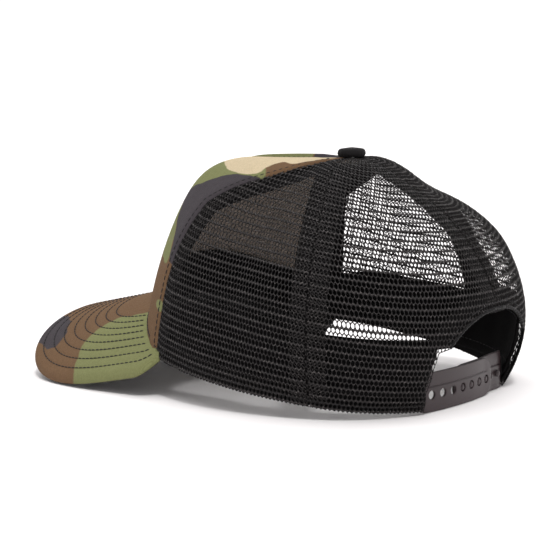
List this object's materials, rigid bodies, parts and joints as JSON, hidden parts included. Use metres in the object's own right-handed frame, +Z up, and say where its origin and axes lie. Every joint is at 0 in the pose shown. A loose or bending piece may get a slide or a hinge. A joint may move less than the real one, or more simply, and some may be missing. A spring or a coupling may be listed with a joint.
{
  "type": "trucker cap",
  "caption": "Trucker cap with a stiff camouflage twill front and curved visor, black mesh sides and back, a covered button and an adjustable snap strap.",
  "frame": {"origin": "centre of the bounding box in plan, on the table the cap stands on", "axes": "-Y towards the tip of the visor, +Y towards the snap strap at the rear, +X towards the wearer's left, +Z up"},
  "size_m": [0.1738, 0.2702, 0.125],
  "materials": {
    "twill": "camouflage cotton twill, matt",
    "mesh": "black knitted polyester mesh",
    "backing": "stiff black buckram",
    "tape": "black woven tape",
    "band": "black cotton twill, folded",
    "thread": "black thread",
    "board": "stiff white plastic board",
    "button_fabric": "black cotton stretched over the button",
    "metal": "plain stamped metal",
    "strap_plastic": "black moulded plastic with a satin surface"
  },
  "bodies": {
    "cap": {"front_panel": "twill", "front_backing": "backing", "left_side_mesh": "mesh", "right_side_mesh": "mesh", "left_back_mesh": "mesh", "right_back_mesh": "mesh", "left_front_seam_tape": "tape", "right_front_seam_tape": "tape", "left_side_seam_tape": "tape", "right_side_seam_tape": "tape", "back_seam_tape": "tape", "opening_binding": "tape", "sweatband": "band", "hem_stitching": "thread", "front_seam_stitching": "thread", "dart_stitching": "thread", "visor_top_cover": "twill", "visor_core": "board", "visor_under_cover": "twill", "visor_stitching": "thread", "button_cover": "button_fabric", "button_shell": "metal", "button_rivet": "metal", "left_strap_tab": "strap_plastic", "right_strap_tab": "strap_plastic"},
    "left_strap": {"left_strap": "strap_plastic"},
    "right_strap": {"right_strap": "strap_plastic"}
  },
  "joints": [
    {"name": "left_strap_flex", "type": "hinge", "parent": "cap", "child": "left_strap", "pos_m": [0.036, 0.11595, 0.0105], "axis": [0, 0, -1], "range_deg": [0, 60], "stiffness_Nm_per_rad": 0.03},
    {"name": "right_strap_flex", "type": "hinge", "parent": "cap", "child": "right_strap", "pos_m": [-0.036, 0.11595, 0.0105], "axis": [0, 0, -1], "range_deg": [0, 30], "stiffness_Nm_per_rad": 0.03}
  ]
}
